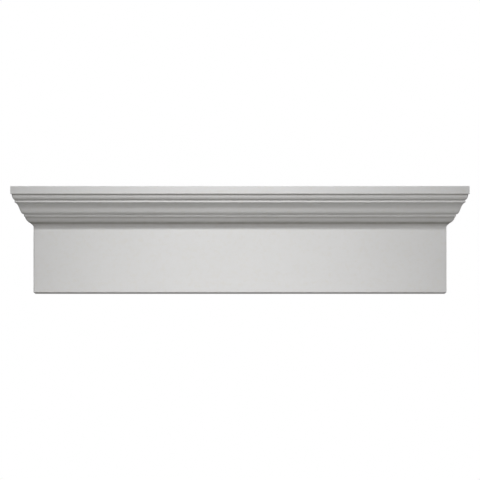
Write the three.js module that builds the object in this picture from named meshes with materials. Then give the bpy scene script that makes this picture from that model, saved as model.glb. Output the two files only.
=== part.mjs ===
// Door pediment: a straight crosshead that is fixed to the wall above a door, moulded in one piece.
// A plain frieze board carries a cornice whose section runs along the front and returns to the wall at
// both ends, so each corner of the cornice is a mitre.
//
// Millimetres, +Z up. The front looks along -Y and the flat back lies on the plane y = 0, against the wall.
// The origin is the middle of the back.
import * as THREE from "three";

// The whole pediment
const pedimentHeight = 267;
const friezeWidth = 1029;
const friezeDepth = 32; // from the wall to the frieze's face
const footChamfer = 4.4; // along the foot of the frieze, at the front and at both ends
const cornerRadius = 3; // on the upright corners, which leave the mould rounded

// The cornice, member by member from the top down. A height is measured up the wall. A reach or an
// overhang is how far the member comes out past the one below it. A fullness runs from 0, a straight
// slope, to 1, a full quarter turn.
const fasciaHeight = 19.1;
const fasciaOverhang = 2.7;
const ovoloHeight = 15.6;
const ovoloReach = 8.1;
const ovoloFullness = 0.74;
const ledgeDepth = 1.8; // the upper fillet stands out this far past the foot of the ovolo
const upperFilletHeight = 5.2;
const upperFilletOverhang = 0.3;
const cymaHeight = 29.2;
const cymaReach = 20.4;
const cymaFootRun = 10; // the cyma's swell sets off level, towards a point this far out
const cymaHeadRun = 12.1; // its hollow arrives at the upper fillet from a point this far in
const cymaHeadDrop = 5.4; // and this far down
const lowerFilletHeight = 5.6;
const lowerFilletOverhang = 1.9;
const swellHeight = 15.9;
const swellReach = 11.8;
const swellFullness = 0.45;
const hollowHeight = 7.9;
const hollowReach = 7.4;
const hollowFullness = 0.15;

const curveSteps = 12; // straight steps along each curved member
const cornerSteps = 6; // straight steps round each upright corner

const corniceHeight =
  fasciaHeight +
  ovoloHeight +
  upperFilletHeight +
  cymaHeight +
  lowerFilletHeight +
  swellHeight +
  hollowHeight;

// The section, drawn from the foot to the top: x is the reach beyond the frieze's face, y is the height.
// The bed mould, between the frieze and the lower fillet, is a hollow with a swell over it.
function corniceSection() {
  const foot = -pedimentHeight / 2;
  const section = new THREE.Path();
  section.moveTo(-footChamfer, foot);
  section.lineTo(0, foot + footChamfer);
  section.lineTo(0, pedimentHeight / 2 - corniceHeight);
  hollow(section, hollowReach, hollowHeight, hollowFullness);
  swell(section, swellReach, swellHeight, swellFullness);
  step(section, lowerFilletOverhang, lowerFilletHeight);
  cyma(section);
  step(section, upperFilletOverhang, upperFilletHeight);
  section.lineTo(section.currentPoint.x - ledgeDepth, section.currentPoint.y);
  swell(section, ovoloReach, ovoloHeight, ovoloFullness);
  step(section, fasciaOverhang, fasciaHeight);
  return section.getPoints(curveSteps);
}

// A flat member: its underside steps out by the overhang, and its face rises by the height.
function step(section, overhang, height) {
  const { x, y } = section.currentPoint;
  section.lineTo(x + overhang, y);
  section.lineTo(x + overhang, y + height);
}

// A convex member: it sets off outwards and turns up.
function swell(section, reach, height, fullness) {
  const { x, y } = section.currentPoint;
  bow(section, x + reach, y + height, x + reach, y, fullness);
}

// A concave member: it sets off upwards and turns out.
function hollow(section, reach, height, fullness) {
  const { x, y } = section.currentPoint;
  bow(section, x + reach, y + height, x, y + height, fullness);
}

// A curve to an end point, drawn from the straight slope towards a corner by the fullness.
function bow(section, endX, endY, cornerX, cornerY, fullness) {
  const { x, y } = section.currentPoint;
  const pullX = THREE.MathUtils.lerp((x + endX) / 2, cornerX, fullness);
  const pullY = THREE.MathUtils.lerp((y + endY) / 2, cornerY, fullness);
  section.quadraticCurveTo(pullX, pullY, endX, endY);
}

// The crown's main member is a cyma recta: one curve that swells below and is hollow above.
function cyma(section) {
  const { x, y } = section.currentPoint;
  const endX = x + cymaReach;
  const endY = y + cymaHeight;
  section.bezierCurveTo(x + cymaFootRun, y, endX - cymaHeadRun, endY - cymaHeadDrop, endX, endY);
}

// The outline in plan of the level that reaches this far beyond the frieze's face: square at the wall,
// with a rounded corner at each end of the front.
function planAt(reach) {
  const side = friezeWidth / 2 + reach;
  const front = -(friezeDepth + reach);
  const plan = new THREE.Path();
  plan.moveTo(-side, 0);
  plan.lineTo(-side, front + cornerRadius);
  plan.absarc(-side + cornerRadius, front + cornerRadius, cornerRadius, Math.PI, 1.5 * Math.PI);
  plan.lineTo(side - cornerRadius, front);
  plan.absarc(side - cornerRadius, front + cornerRadius, cornerRadius, -0.5 * Math.PI, 0);
  plan.lineTo(side, 0);
  return plan.getPoints(cornerSteps);
}

// Joins one outline to the next, level by level, and closes the foot and the top.
function loft(section) {
  const levels = section.map((point) => ({ plan: planAt(point.x), z: point.y }));
  const around = levels[0].plan.length;
  const positions = levels.flatMap(({ plan, z }) => plan.flatMap((point) => [point.x, point.y, z]));
  const triangles = [];
  for (let level = 0; level + 1 < levels.length; level++) {
    for (let corner = 0; corner < around; corner++) {
      const below = level * around + corner;
      const belowNext = level * around + ((corner + 1) % around);
      triangles.push(below, belowNext, belowNext + around);
      triangles.push(below, belowNext + around, below + around);
    }
  }
  const top = (levels.length - 1) * around;
  for (const [a, b, c] of THREE.ShapeUtils.triangulateShape(levels[0].plan, [])) {
    triangles.push(a, c, b);
    triangles.push(top + a, top + b, top + c);
  }
  const geometry = new THREE.BufferGeometry();
  geometry.setAttribute("position", new THREE.Float32BufferAttribute(positions, 3));
  geometry.setIndex(triangles);
  geometry.computeVertexNormals();
  return geometry;
}

const primedFoam = new THREE.MeshStandardMaterial({
  name: "primed_foam",
  color: 0xe2e2e1,
  roughness: 0.55,
  metalness: 0,
});

const pediment = new THREE.Mesh(loft(corniceSection()), primedFoam);
pediment.name = "pediment";

const part = new THREE.Group();
part.name = "door_pediment";
part.add(pediment);

export default part;
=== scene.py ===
import math

import bmesh
import bpy
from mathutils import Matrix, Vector, noise


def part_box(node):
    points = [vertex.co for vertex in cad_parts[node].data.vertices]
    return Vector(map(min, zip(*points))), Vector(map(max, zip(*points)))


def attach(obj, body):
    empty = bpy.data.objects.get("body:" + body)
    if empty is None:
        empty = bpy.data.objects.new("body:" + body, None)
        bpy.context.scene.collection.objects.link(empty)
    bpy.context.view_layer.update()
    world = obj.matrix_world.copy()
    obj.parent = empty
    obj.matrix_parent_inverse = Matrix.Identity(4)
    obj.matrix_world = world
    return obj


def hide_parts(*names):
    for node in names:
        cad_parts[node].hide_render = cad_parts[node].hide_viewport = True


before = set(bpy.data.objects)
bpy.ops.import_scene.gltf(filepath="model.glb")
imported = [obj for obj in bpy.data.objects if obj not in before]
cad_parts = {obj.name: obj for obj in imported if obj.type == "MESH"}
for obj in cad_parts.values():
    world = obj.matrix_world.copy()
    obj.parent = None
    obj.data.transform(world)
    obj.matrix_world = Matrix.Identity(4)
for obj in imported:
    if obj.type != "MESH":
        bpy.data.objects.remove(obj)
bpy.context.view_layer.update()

mm = 0.001

# The section, in millimetres, member by member from the top down. A reach or an overhang is how far
# a member comes out past the one below it; a fullness runs from 0, a straight slope, to 1, a full
# quarter turn.
moulding = {
    "fasciaHeight": 19.1,
    "fasciaOverhang": 2.7,
    "ovoloHeight": 15.6,
    "ovoloReach": 8.1,
    "ovoloFullness": 0.74,
    "ledge": 1.8,                   # how far the upper fillet stands out past the foot of the ovolo
    "upperFilletHeight": 5.2,
    "upperFilletOverhang": 0.3,
    "cymaHeight": 29.2,
    "cymaReach": 20.4,
    "cymaFootRun": 10.0,            # the swell leaves the lower fillet level, for this far
    "cymaHeadRun": 12.1,            # the hollow comes up to the upper fillet along this slope
    "cymaHeadRise": 5.4,
    "lowerFilletHeight": 5.6,
    "lowerFilletOverhang": 1.9,
    "swellHeight": 15.9,
    "swellReach": 11.8,
    "swellFullness": 0.45,
    "hollowHeight": 7.9,
    "hollowReach": 7.4,
    "hollowFullness": 0.15,
    "footChamfer": 4.4,
    "arris": 0.7,                   # softness of the long edges
    "cornerRadius": 3.0,            # of the upright corners
    "backArris": 0.6,               # of the upright edges that meet the wall
    "capMargin": 5.0,               # the strip along the edges of the top and of the foot
    # lines on the back, counted in from its upright edges
    "backStrips": [2.0, 5.0, 9.0, 14.0],
    "curveSteps": 14,
    "arrisSteps": 4,
    "cornerSteps": 8,
    "returnRows": 7,                # along each end, from the corner to the wall
    "faceLength": 9.0,              # of a mesh face along a straight stretch
    "waveDepth": 0.12,              # how far the moulded faces wander
    "waveLength": 90.0,
    "waveSquash": 1.7,              # the waves are this much shorter up the face
    "sharpAngle": 32.0,             # degrees; an edge that turns more keeps its crease
    "lapStart": 3.0,                # the full coat laps this far round onto the back
    "lapEnd": 13.0,                 # and has thinned out by here
    # painted shade in the quirks and under the overhangs: how much, and how far off it has faded out
    "bedPaintedShade": (1.0, 4.4),          # between the swell and the hollow
    "swellHeadPaintedShade": (0.55, 8.5),
    "ovoloHeadPaintedShade": (0.9, 4.0),
    "ovoloFootPaintedShade": (0.35, 2.5),
}

corniceReach = (
    moulding["fasciaOverhang"] + moulding["ovoloReach"] - moulding["ledge"]
    + moulding["upperFilletOverhang"] + moulding["cymaReach"] + moulding["lowerFilletOverhang"]
    + moulding["swellReach"] + moulding["hollowReach"]
)
corniceHeight = (
    moulding["fasciaHeight"] + moulding["ovoloHeight"] + moulding["upperFilletHeight"]
    + moulding["cymaHeight"] + moulding["lowerFilletHeight"] + moulding["swellHeight"]
    + moulding["hollowHeight"]
)
low, high = [[value / mm for value in corner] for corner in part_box("pediment")]
top, foot = high[2], low[2]
halfFrieze = high[0] - corniceReach
friezeDepth = -low[1] - corniceReach
print("frieze", round(2 * halfFrieze, 1), "mm wide and", round(friezeDepth, 1), "mm deep;",
      "cornice", round(corniceHeight, 1), "mm high and", round(corniceReach, 1), "mm out")


def bezier(start, handles, end, steps):
    # a curve pulled by one handle or two, without its start point
    points = [start, *handles, end]
    curve = []
    for step in range(1, steps + 1):
        row = points
        while len(row) > 1:
            row = [a.lerp(b, step / steps) for a, b in zip(row, row[1:])]
        curve.append(row[0])
    return curve


def cornicePath():
    # the section from the foot of the frieze to the top: x is the reach past the frieze, y the height
    m = moulding
    path = [
        Vector((-m["footChamfer"] - m["capMargin"], foot)),
        Vector((-m["footChamfer"], foot)),
        Vector((0, foot + m["footChamfer"])),
        Vector((0, top - corniceHeight)),
    ]

    def addStep(name):
        path.append(path[-1] + Vector((m[name + "Overhang"], 0)))
        path.append(path[-1] + Vector((0, m[name + "Height"])))

    def addBow(name, swelling):
        # a swelling member bows outwards and down, a hollow one inwards and up
        start = path[-1]
        end = start + Vector((m[name + "Reach"], m[name + "Height"]))
        square = Vector((end.x, start.y)) if swelling else Vector((start.x, end.y))
        pull = ((start + end) / 2).lerp(square, m[name + "Fullness"])
        path.extend(bezier(start, [pull], end, m["curveSteps"]))

    addBow("hollow", False)
    addBow("swell", True)
    addStep("lowerFillet")
    start = path[-1]
    end = start + Vector((m["cymaReach"], m["cymaHeight"]))
    footHandle = start + Vector((m["cymaFootRun"], 0))
    headHandle = end - Vector((m["cymaHeadRun"], m["cymaHeadRise"]))
    path.extend(bezier(start, [footHandle, headHandle], end, 2 * m["curveSteps"]))
    addStep("upperFillet")
    path.append(path[-1] - Vector((m["ledge"], 0)))
    addBow("ovolo", True)
    addStep("fascia")
    path.append(path[-1] - Vector((m["capMargin"], 0)))
    return path


def walk(path, corner, direction, distance):
    # the point this far along the path from a corner, and the last corner passed on the way
    at = corner
    while 0 <= at + direction < len(path):
        gap = path[at + direction] - path[at]
        if gap.length >= distance:
            return path[at] + gap.normalized() * distance, at
        distance -= gap.length
        at += direction
    return path[at], at


def softened(path):
    # the same path with each sharp corner turned into a small round, with a close row of points
    # beside it so that the flat faces stay flat in the light
    sharpTurn = math.radians(20)
    support = 0.35
    leastRadius = 0.1
    stepShare = 0.45                # of a narrow step, which its round may take up
    soft = [path[0]]
    index = 1
    while index < len(path) - 1:
        before = path[index] - path[index - 1]
        after = path[index + 1] - path[index]
        turn = before.angle(after, 0)
        if turn < sharpTurn:
            soft.append(path[index])
            index += 1
            continue
        shortest = min(before.length, after.length)
        squareStep = abs(turn - math.pi / 2) < sharpTurn and shortest < 2 * moulding["arris"]
        radius = max(stepShare * shortest, leastRadius) if squareStep else moulding["arris"]
        into, _ = walk(path, index, -1, radius)
        outOf, _ = walk(path, index, 1, radius)
        early, _ = walk(path, index, -1, radius + support)
        late, lastPassed = walk(path, index, 1, radius + support)
        while len(soft) > 1 and (soft[-1] - path[index]).length < radius + support:
            soft.pop()
        soft.extend([early, into])
        soft.extend(bezier(into, [path[index]], outOf, moulding["arrisSteps"]))
        soft.append(late)
        index = max(lastPassed, index) + 1
    soft.append(path[-1])
    return soft


def divided(path):
    # the same path with points added along its long straight stretches
    rows = [path[0]]
    for start, end in zip(path, path[1:]):
        parts = max(1, round((end - start).length / moulding["faceLength"]))
        rows.extend(start.lerp(end, part / parts) for part in range(1, parts + 1))
    return rows


def planRing(reach, margin):
    # one level of the moulding seen from above: pairs of a place and the way into the body, from the
    # middle of the front round the right end to the middle of the back, and on round the left end;
    # the margin draws the back edge in, where a row lies on the top or on the underside
    m = moulding
    radius = m["cornerRadius"]
    side = halfFrieze + reach
    front = friezeDepth + reach
    columns = round(high[0] / m["faceLength"])
    half = [(Vector(((side - radius) * i / columns, -front)), Vector((0, 1))) for i in range(columns)]
    for step in range(m["cornerSteps"] + 1):
        turn = 0.5 * math.pi * step / m["cornerSteps"]
        outward = Vector((math.sin(turn), -math.cos(turn)))
        half.append((Vector((side - radius, radius - front)) + radius * outward, -outward))
    wall = -margin - m["backArris"]
    for row in range(1, m["returnRows"] + 1):
        y = radius - front + (wall - radius + front) * row / m["returnRows"]
        half.append((Vector((side, y)), Vector((-1, 0))))
    edge = side - m["backArris"]
    strips = [0, *m["backStrips"]]
    half.extend((Vector((edge - strip, -margin)), Vector((0, 0))) for strip in strips)
    inner = edge - strips[-1]
    half.extend((Vector((inner * (1 - i / columns), -margin)), Vector((0, 0))) for i in range(1, columns + 1))
    mirrored = [
        (Vector((-place.x, place.y)), Vector((-into.x, into.y)))
        for place, into in half[-2:0:-1]
    ]
    return half + mirrored


def paintedShadeAt(height):
    # how much painted shade lies at this height: in a quirk it fades both ways, under an overhang downwards
    m = moulding
    swellFoot = top - corniceHeight + m["hollowHeight"]
    underFascia = top - m["fasciaHeight"]
    quirks = (
        (swellFoot, m["bedPaintedShade"]),
        (underFascia - m["ovoloHeight"], m["ovoloFootPaintedShade"]),
    )
    overhangs = (
        (swellFoot + m["swellHeight"], m["swellHeadPaintedShade"]),
        (underFascia, m["ovoloHeadPaintedShade"]),
    )
    amounts = [most * (1 - abs(height - quirk) / fade) for quirk, (most, fade) in quirks]
    for edge, (most, fade) in overhangs:
        if height <= edge:
            amounts.append(most * (1 - (edge - height) / fade))
    return max(0, *amounts)


def buildMoulding():
    m = moulding
    level = 0.001                   # a row this close to the top or the foot lies on it
    path = divided(softened(cornicePath()))
    build = bmesh.new()
    thinCoat = build.verts.layers.float.new("thinCoat")
    # a share of painted shade for each vertex, in the quirks and under the overhangs
    paintedShade = build.verts.layers.float.new("paintedShade")
    rings = []
    for row in path:
        onTop = corniceReach - row.x if row.y > top - level else 0
        onFoot = -m["footChamfer"] - row.x if row.y < foot + level else 0
        margin = max(onTop, onFoot, 0)
        ring = []
        paintedShadeHere = paintedShadeAt(row.y)
        for place, into in planRing(row.x, margin):
            spread = Vector((place.x, m["waveSquash"] * row.y, place.y))
            wander = noise.noise(spread / m["waveLength"])
            spot = place + into * m["waveDepth"] * (0.5 + 0.5 * wander)
            vertex = build.verts.new((spot.x * mm, spot.y * mm, row.y * mm))
            if into.length == 0:
                inFromEdge = min(halfFrieze + row.x - abs(place.x), top - row.y, row.y - foot)
                vertex[thinCoat] = (inFromEdge - m["lapStart"]) / (m["lapEnd"] - m["lapStart"])
            else:
                vertex[paintedShade] = paintedShadeHere
            ring.append(vertex)
        rings.append(ring)
    for lower, upper in zip(rings, rings[1:]):
        for a, b, c, d in zip(lower, lower[1:] + lower[:1], upper[1:] + upper[:1], upper):
            build.faces.new((a, b, c, d))
    build.faces.new(list(reversed(rings[0])))
    build.faces.new(rings[-1])
    for face in build.faces:
        face.smooth = True
    mesh = bpy.data.meshes.new("mouldedPediment")
    build.to_mesh(mesh)
    build.free()
    mesh.set_sharp_from_angle(angle=math.radians(m["sharpAngle"]))
    piece = bpy.data.objects.new("mouldedPediment", mesh)
    bpy.context.scene.collection.objects.link(piece)
    print("moulding made:", len(mesh.polygons), "faces from", len(path), "rows")
    return piece


# the primer: white and satin, a little uneven, and thin over the foam on the back
primer = {
    "fullColour": (0.82, 0.82, 0.82, 1),
    "dullColour": (0.795, 0.794, 0.79, 1),
    "thinColour": (0.78, 0.755, 0.69, 1),
    "roughness": (0.44, 0.54),      # where the coat is full and where it is dry
    "thinRoughness": 0.72,
    # the dark colour painted in as shade in the quirks and under the overhangs
    "paintedShadeColour": (0.33, 0.315, 0.285, 1),
    "cloudSize": 110,               # millimetres, as are the other sizes here
    "cloudShare": 0.6,              # of the unevenness; the mottle has the rest
    "mottleSize": 9,
    "thinPatchSize": 35,
    "thinEdge": 0.35,               # how ragged the edge of the full coat is
    "paintedShadePatchSize": 24,
    "peelSize": 2.4,
    "peelDepth": 0.06,
    "grainSize": 0.5,
    "grainDepth": 0.02,
    "pinholeSpacing": 7,
    "pinholeRadius": 0.45,
    "pinholeDepth": 0.12,
    "pinholeShare": (0.06, 0.5),    # of the spots, on the full coat and on the thin one
}


class NodeTree:
    # a short way to add nodes to a material and to join them up
    def __init__(self, name):
        self.material = bpy.data.materials.new(name)
        self.material.use_nodes = True
        self.tree = self.material.node_tree
        self.shader = self.tree.nodes["Principled BSDF"]

    def add(self, kind, settings=None, **inputs):
        node = self.tree.nodes.new("ShaderNode" + kind)
        for name, value in (settings or {}).items():
            setattr(node, name, value)
        for name, value in inputs.items():
            self.put(node.inputs[name.replace("_", " ")], value)
        return node

    def put(self, socket, value):
        if isinstance(value, bpy.types.NodeSocket):
            self.tree.links.new(value, socket)
        else:
            socket.default_value = value


def primedFinish():
    p = primer
    nodes = NodeTree("satinPrimer")
    place = nodes.add("TexCoord").outputs["Object"]

    def noiseAt(size, detail, roughness=0.5):
        # a noise whose blotches are about this many millimetres across
        return nodes.add("TexNoise", Vector=place, Scale=1 / (size * mm), Detail=detail,
                         Roughness=roughness).outputs["Fac"]

    def mapped(value, low, high, outLow=0.0, outHigh=1.0):
        return nodes.add("MapRange", Value=value, From_Min=low, From_Max=high,
                         To_Min=outLow, To_Max=outHigh).outputs["Result"]

    def mixed(share, first, second):
        node = nodes.add("Mix", {"data_type": "RGBA"})
        nodes.put(node.inputs[0], share)
        nodes.put(node.inputs[6], first)
        nodes.put(node.inputs[7], second)
        return node.outputs[2]

    def combined(operation, first, second):
        node = nodes.add("Math", {"operation": operation})
        nodes.put(node.inputs[0], first)
        nodes.put(node.inputs[1], second)
        return node.outputs[0]

    cloud = noiseAt(p["cloudSize"], 3)
    mottle = noiseAt(p["mottleSize"], 4, 0.6)
    cloudy = mapped(cloud, 0.3, 0.7, 0, p["cloudShare"])
    mottled = mapped(mottle, 0.3, 0.7, 0, 1 - p["cloudShare"])
    dry = combined("ADD", cloudy, mottled)
    coat = mixed(dry, p["fullColour"], p["dullColour"])

    # the coat thins out over the back, with a ragged edge
    away = nodes.add("Attribute", {"attribute_name": "thinCoat"}).outputs["Fac"]
    ragged = combined("ADD", away, mapped(mottle, 0.3, 0.7, -p["thinEdge"], p["thinEdge"]))
    thin = mapped(ragged, 0, 1)
    thinPatches = mapped(noiseAt(p["thinPatchSize"], 5, 0.6), 0.3, 0.75, 0.45, 1)
    patchy = combined("MULTIPLY", thin, thinPatches)
    coat = mixed(patchy, coat, p["thinColour"])

    # painted shade darkens the quirks and the strips under the overhangs, a little unevenly
    paintedShadeMask = nodes.add("Attribute", {"attribute_name": "paintedShade"}).outputs["Fac"]
    paintedShadePatches = mapped(noiseAt(p["paintedShadePatchSize"], 3), 0.3, 0.7, 0.8, 1)
    paintedShadeShare = combined("MULTIPLY", paintedShadeMask, paintedShadePatches)
    coat = mixed(paintedShadeShare, coat, p["paintedShadeColour"])
    nodes.put(nodes.shader.inputs["Base Color"], coat)

    fullRoughness = mapped(dry, 0, 1, *p["roughness"])
    dryness = mapped(thin, 0, 1, 0, p["thinRoughness"] - p["roughness"][0])
    nodes.put(nodes.shader.inputs["Roughness"], combined("ADD", fullRoughness, dryness))

    # orange peel, the grain of the dry film, and here and there a pinhole
    peel = nodes.add("Bump", Height=noiseAt(p["peelSize"], 2), Distance=p["peelDepth"] * mm)
    grain = nodes.add("Bump", Height=noiseAt(p["grainSize"], 2), Distance=p["grainDepth"] * mm)
    nodes.put(grain.inputs["Normal"], peel.outputs["Normal"])
    cells = nodes.add("TexVoronoi", Vector=place, Scale=1 / (p["pinholeSpacing"] * mm))
    hollowed = mapped(cells.outputs["Distance"], 0, p["pinholeRadius"] / p["pinholeSpacing"])
    scarce = nodes.add("SeparateColor", Color=cells.outputs["Color"]).outputs["Red"]
    limit = mapped(thin, 0, 1, *p["pinholeShare"])
    filled = combined("GREATER_THAN", scarce, limit)
    level = combined("MAXIMUM", hollowed, filled)
    pits = nodes.add("Bump", Height=level, Distance=p["pinholeDepth"] * mm)
    nodes.put(pits.inputs["Normal"], grain.outputs["Normal"])
    nodes.put(nodes.shader.inputs["Normal"], pits.outputs["Normal"])
    return nodes.material


pediment = buildMoulding()
pediment.data.materials.append(primedFinish())
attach(pediment, "root")
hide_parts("pediment")
print("moulding finished with primer")


# the camera looks level and square at the pediment
view = {
    "eyeHeight": 0.0008,            # metres above the middle
    "distance": 4.213,              # metres from the face of the frieze
    "frameWidth": 1.1951,           # what the picture spans at that face
    "sensor": 36.0,
}


def addCamera():
    data = bpy.data.cameras.new("camera")
    data.sensor_width = view["sensor"]
    data.lens = view["sensor"] * view["distance"] / view["frameWidth"]
    camera = bpy.data.objects.new("camera", data)
    camera.location = (0, -friezeDepth * mm - view["distance"], view["eyeHeight"])
    camera.rotation_euler = (math.radians(90), 0, 0)
    bpy.context.scene.collection.objects.link(camera)
    bpy.context.scene.camera = camera


# a small lamp high up in front casts the shadow, broad ones above, below and near the camera fill it,
# one on the right evens out the two halves, and two behind the wall's plane light the ends and the back
light = {
    "keyDistance": 5.0,             # metres from the spot that it is aimed at
    "keyHeight": 58.0,              # degrees above level
    "keyTarget": (-0.06, -0.6),     # along the pediment and up it
    "keyRadius": 0.38,
    "keyCone": 21.0,
    "keyPower": 740.0,
    "skySize": (2.5, 1.2),
    "skyPlace": (0, -1.8, 1.77),
    "skyPower": 14.7,
    "frontSize": (1.5, 1.5),
    "frontPlace": (0, -4.0, 0.14),
    "frontPower": 7.0,
    "sideSize": (1.0, 1.0),
    "sidePlace": (1.98, -2.85, 0.6),
    "sidePower": 14.2,
    "lowSize": (3.0, 2.5),
    "lowPlace": (0, -1.0, -0.85),
    "lowPower": 7.7,
    "lowColour": (1.0, 0.975, 0.93),
    "behindSize": (1.0, 1.0),
    "behindPlace": (2.2, 1.8, 0.7),  # and its mirror image
    "behindPower": 49.0,
}


def addLamp(name, data, place, target):
    lamp = bpy.data.objects.new(name, data)
    lamp.location = place
    lamp.rotation_euler = (Vector(target) - lamp.location).to_track_quat("-Z", "Y").to_euler()
    lamp.visible_camera = False
    bpy.context.scene.collection.objects.link(lamp)


def addSoftLamp(name, size, place, power, colour=(1, 1, 1)):
    data = bpy.data.lights.new(name, "AREA")
    data.shape = "RECTANGLE"
    data.size, data.size_y = size
    data.energy = power
    data.color = colour
    addLamp(name, data, place, (0, 0, 0))


def addLights():
    height = math.radians(light["keyHeight"])
    data = bpy.data.lights.new("key", "SPOT")
    data.energy = light["keyPower"]
    data.shadow_soft_size = light["keyRadius"]
    data.spot_size = math.radians(light["keyCone"])
    data.spot_blend = 1.0
    along, up = light["keyTarget"]
    target = Vector((along, -friezeDepth * mm, up))
    away = Vector((0, -math.cos(height), math.sin(height)))
    addLamp("key", data, target + light["keyDistance"] * away, target)
    addSoftLamp("sky", light["skySize"], light["skyPlace"], light["skyPower"])
    addSoftLamp("front", light["frontSize"], light["frontPlace"], light["frontPower"])
    addSoftLamp("side", light["sideSize"], light["sidePlace"], light["sidePower"])
    addSoftLamp("low", light["lowSize"], light["lowPlace"], light["lowPower"], light["lowColour"])
    x, y, z = light["behindPlace"]
    for name, place in (("behindRight", (x, y, z)), ("behindLeft", (-x, y, z))):
        addSoftLamp(name, light["behindSize"], place, light["behindPower"])


def addRoom():
    # plain white lies behind the pediment, and only the camera sees it
    world = bpy.data.worlds.new("room")
    world.use_nodes = True
    nodes, links = world.node_tree.nodes, world.node_tree.links
    background = nodes["Background"]
    background.inputs["Color"].default_value = (1, 1, 1, 1)
    paths = nodes.new("ShaderNodeLightPath")
    links.new(paths.outputs["Is Camera Ray"], background.inputs["Strength"])
    bpy.context.scene.world = world


# a pale floor with a glow of its own, hidden from the pediment so that it hardly lights the underside
ground = {
    "height": -1.6,                 # metres; the front view does not reach down to it
    "radius": 6.0,
    "colour": (0.84, 0.84, 0.83, 1),
    "dimColour": (0.78, 0.78, 0.775, 1),
    "blotchSize": 0.25,
    "glow": 1.12,
    "roughness": 0.6,
    "gritScale": 300,               # grains in a metre
    "gritDepth": 0.0002,
    "gritStrength": 0.3,
}


def addFloor():
    mesh = bpy.data.meshes.new("floor")
    build = bmesh.new()
    bmesh.ops.create_circle(build, cap_ends=True, segments=96, radius=ground["radius"])
    build.to_mesh(mesh)
    build.free()
    floor = bpy.data.objects.new("floor", mesh)
    floor.location = (0, 0, ground["height"])
    floor.visible_diffuse = False
    floor.visible_glossy = False
    bpy.context.scene.collection.objects.link(floor)
    nodes = NodeTree("paleFloor")
    place = nodes.add("TexCoord").outputs["Object"]
    blotchScale = 1 / ground["blotchSize"]
    blotches = nodes.add("TexNoise", Vector=place, Scale=blotchScale, Detail=5).outputs["Fac"]
    blend = nodes.add("Mix", {"data_type": "RGBA"})
    nodes.put(blend.inputs[0], blotches)
    nodes.put(blend.inputs[6], ground["colour"])
    nodes.put(blend.inputs[7], ground["dimColour"])
    nodes.put(nodes.shader.inputs["Base Color"], blend.outputs[2])
    nodes.put(nodes.shader.inputs["Emission Color"], blend.outputs[2])
    nodes.shader.inputs["Emission Strength"].default_value = ground["glow"]
    nodes.shader.inputs["Roughness"].default_value = ground["roughness"]
    grit = nodes.add("TexNoise", Vector=place, Scale=ground["gritScale"], Detail=2).outputs["Fac"]
    bump = nodes.add("Bump", Height=grit, Distance=ground["gritDepth"], Strength=ground["gritStrength"])
    nodes.put(nodes.shader.inputs["Normal"], bump.outputs["Normal"])
    mesh.materials.append(nodes.material)


addCamera()
addLights()
addRoom()
addFloor()
bpy.context.scene.view_settings.view_transform = "Standard"
print("camera, lights and floor are in place")
